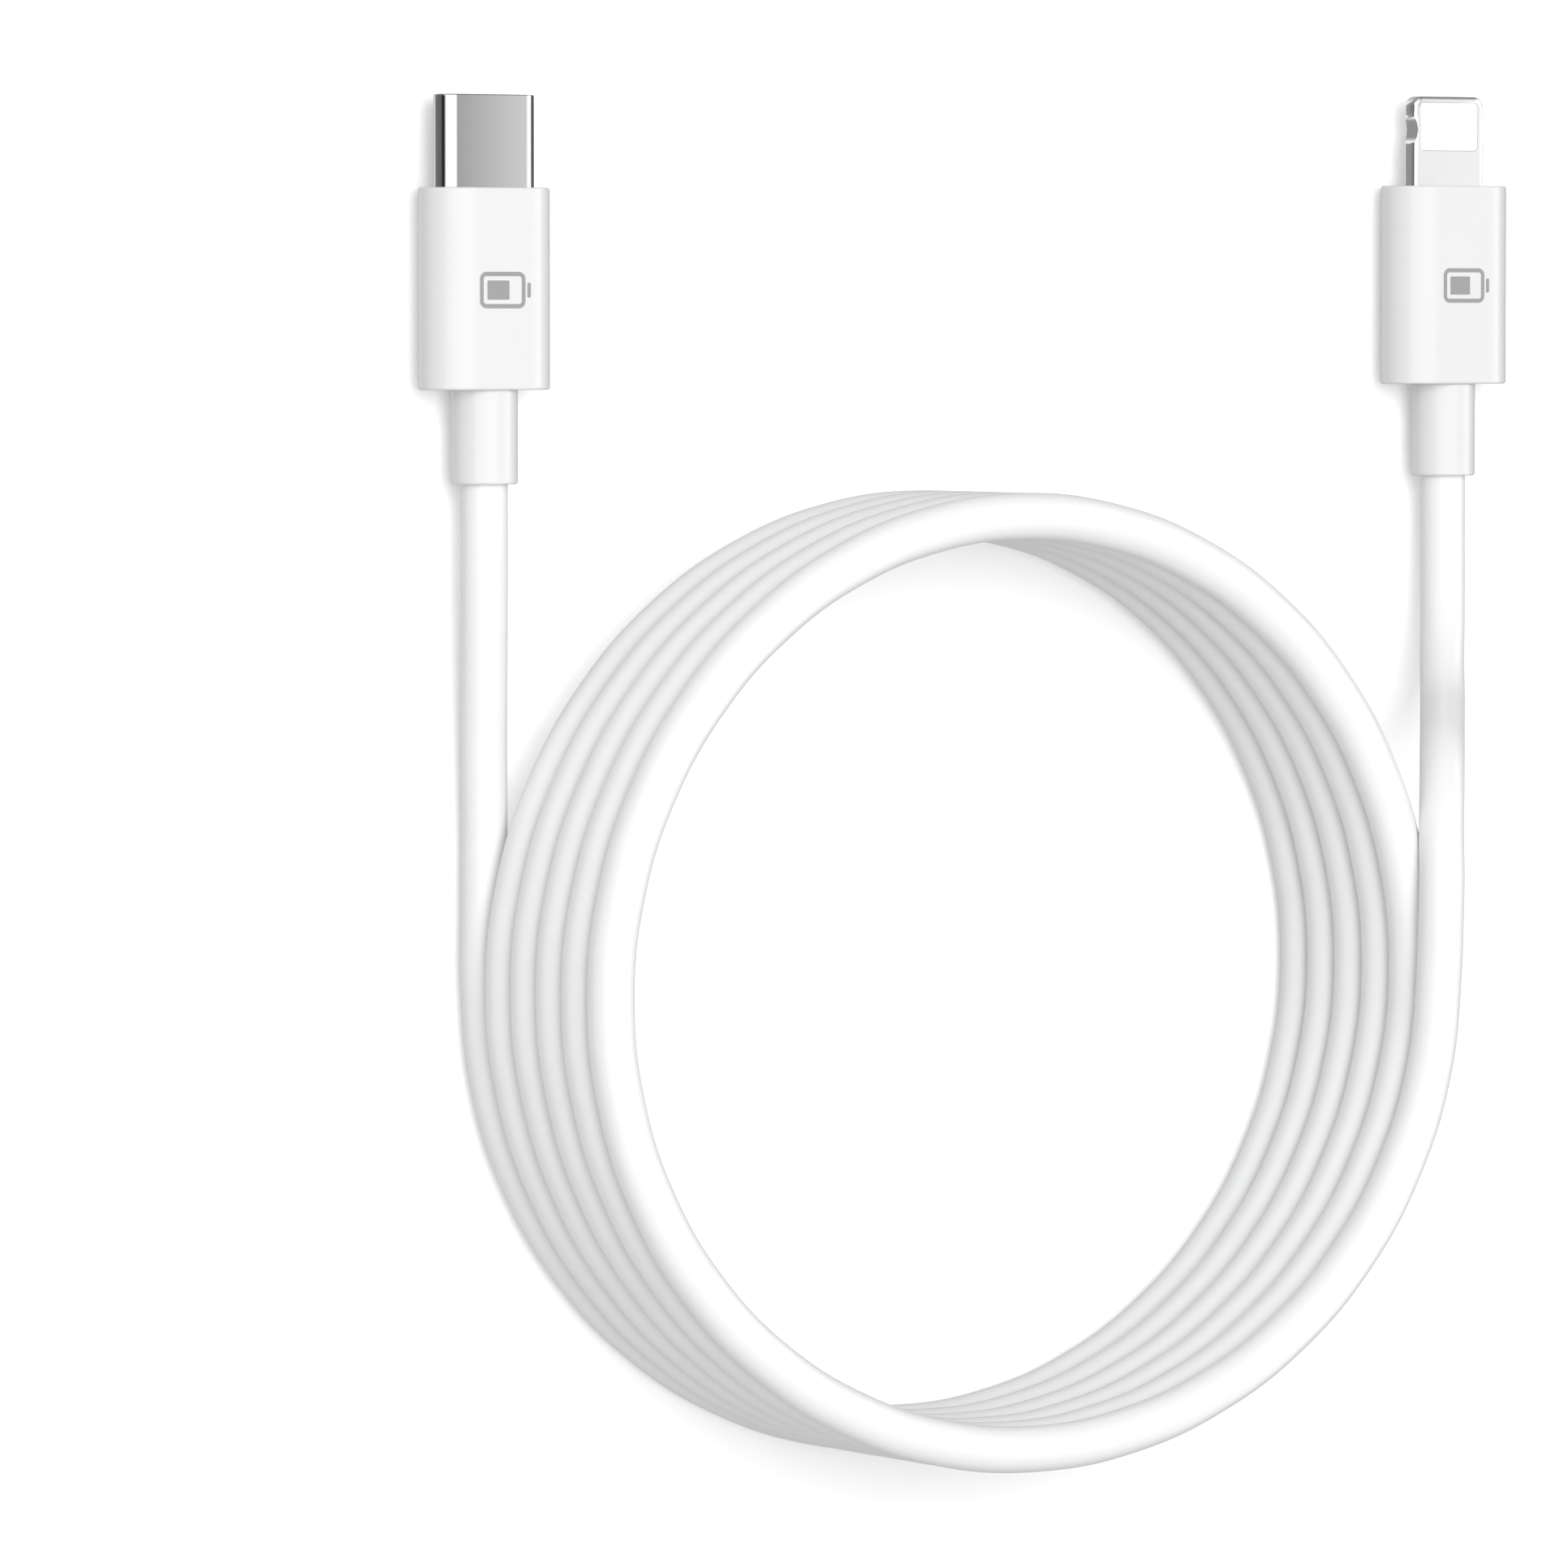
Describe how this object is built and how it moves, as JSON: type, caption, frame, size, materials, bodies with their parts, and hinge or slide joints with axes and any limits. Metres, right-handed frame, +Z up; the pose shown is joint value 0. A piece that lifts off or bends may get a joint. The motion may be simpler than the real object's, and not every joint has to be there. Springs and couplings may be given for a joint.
{
  "type": "charging cable",
  "caption": "Coiled white charging cable with a USB-C plug on one end and a flat reversible tab plug on the other, each with a moulded housing and a strain relief.",
  "frame": {"origin": "on the surface that the cable lies on, under the middle of the whole cable's box", "axes": "+Z up, away from the surface; +Y the way both plugs point; +X from the USB-C plug's side of the coil to the tab plug's side"},
  "size_m": [0.0978, 0.1038, 0.0219],
  "materials": {
    "housing": "gloss white moulded plastic",
    "jacket": "semi-gloss white flexible jacket",
    "steel": "polished nickel-plated steel",
    "tin": "dull tin-plated sheet",
    "carrier": "dark moulded plastic",
    "insert": "pale moulded plastic",
    "gold": "gold-plated contacts",
    "palladium": "pale plated contacts",
    "board": "green solder mask",
    "chip": "black moulded package",
    "ceramic": "fired ceramic",
    "mould": "translucent white plastic",
    "wire_red": "red wire insulation",
    "wire_black": "black wire insulation",
    "wire_white": "white wire insulation",
    "wire_green": "green wire insulation"
  },
  "bodies": {
    "root": {"cable_coil": "jacket", "cable_tail_usb_c": "jacket", "cable_tail_tab": "jacket", "usb_c_housing": "housing", "usb_c_strain_relief": "housing", "usb_c_shield_upper": "tin", "usb_c_shield_lower": "tin", "usb_c_board": "board", "usb_c_wire_block": "mould", "usb_c_crimp_sleeve": "tin", "usb_c_jacket_end": "jacket", "usb_c_wire_red": "wire_red", "usb_c_wire_green": "wire_green", "usb_c_wire_black": "wire_black", "usb_c_wire_white": "wire_white", "usb_c_shell": "steel", "usb_c_contact_carrier": "carrier", "usb_c_contacts_upper": "gold", "usb_c_contacts_lower": "gold", "usb_c_latch": "steel", "usb_c_resistor": "ceramic", "usb_c_capacitor": "ceramic", "tab_housing": "housing", "tab_strain_relief": "housing", "tab_shield_upper": "tin", "tab_shield_lower": "tin", "tab_board": "board", "tab_wire_block": "mould", "tab_crimp_sleeve": "tin", "tab_jacket_end": "jacket", "tab_wire_red": "wire_red", "tab_wire_green": "wire_green", "tab_wire_black": "wire_black", "tab_wire_white": "wire_white", "tab_frame": "steel", "tab_contact_insert": "insert", "tab_contacts_upper": "palladium", "tab_contacts_lower": "palladium", "tab_controller_chip": "chip", "tab_capacitor": "ceramic"}
  },
  "joints": []
}
